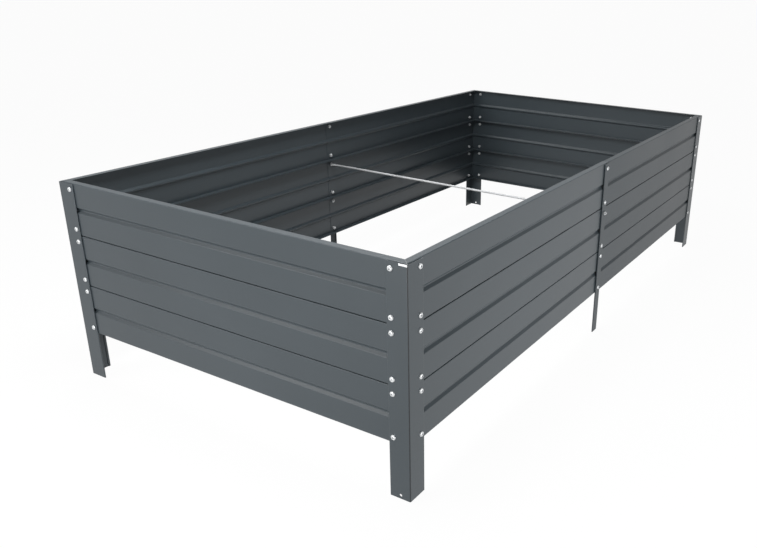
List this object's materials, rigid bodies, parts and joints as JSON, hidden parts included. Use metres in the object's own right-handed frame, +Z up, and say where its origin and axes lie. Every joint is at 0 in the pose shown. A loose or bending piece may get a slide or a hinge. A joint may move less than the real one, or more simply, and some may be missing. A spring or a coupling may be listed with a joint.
{
  "type": "raised garden bed",
  "caption": "Long rectangular raised garden bed of grooved sheet-metal panels bolted to angle posts, open top and bottom, with a middle tie rod.",
  "frame": {"origin": "centre of the bed's footprint at ground level", "axes": "+X along the long walls, +Y across the bed from the front wall to the back wall, +Z up"},
  "size_m": [1.9072, 1.016, 0.51],
  "materials": {
    "anthracite_paint": "satin anthracite powder coat on folded sheet steel",
    "zinc": "bright zinc plating"
  },
  "bodies": {
    "root": {"corner_post_front_left": "anthracite_paint", "corner_post_front_right": "anthracite_paint", "corner_post_back_right": "anthracite_paint", "corner_post_back_left": "anthracite_paint", "middle_post_front": "anthracite_paint", "middle_post_back": "anthracite_paint", "left_panel_bottom": "anthracite_paint", "right_panel_bottom": "anthracite_paint", "front_panel_left_bottom": "anthracite_paint", "front_panel_right_bottom": "anthracite_paint", "back_panel_left_bottom": "anthracite_paint", "back_panel_right_bottom": "anthracite_paint", "left_panel_middle": "anthracite_paint", "right_panel_middle": "anthracite_paint", "front_panel_left_middle": "anthracite_paint", "front_panel_right_middle": "anthracite_paint", "back_panel_left_middle": "anthracite_paint", "back_panel_right_middle": "anthracite_paint", "left_panel_top": "anthracite_paint", "right_panel_top": "anthracite_paint", "front_panel_left_top": "anthracite_paint", "front_panel_right_top": "anthracite_paint", "back_panel_left_top": "anthracite_paint", "back_panel_right_top": "anthracite_paint", "tie_rod": "zinc", "corner_screws_front_left": "zinc", "corner_nuts_front_left": "zinc", "corner_screws_front_right": "zinc", "corner_nuts_front_right": "zinc", "corner_screws_back_right": "zinc", "corner_nuts_back_right": "zinc", "corner_screws_back_left": "zinc", "corner_nuts_back_left": "zinc", "middle_screws": "zinc", "middle_nuts": "zinc", "tie_rod_nuts": "zinc"}
  },
  "joints": []
}
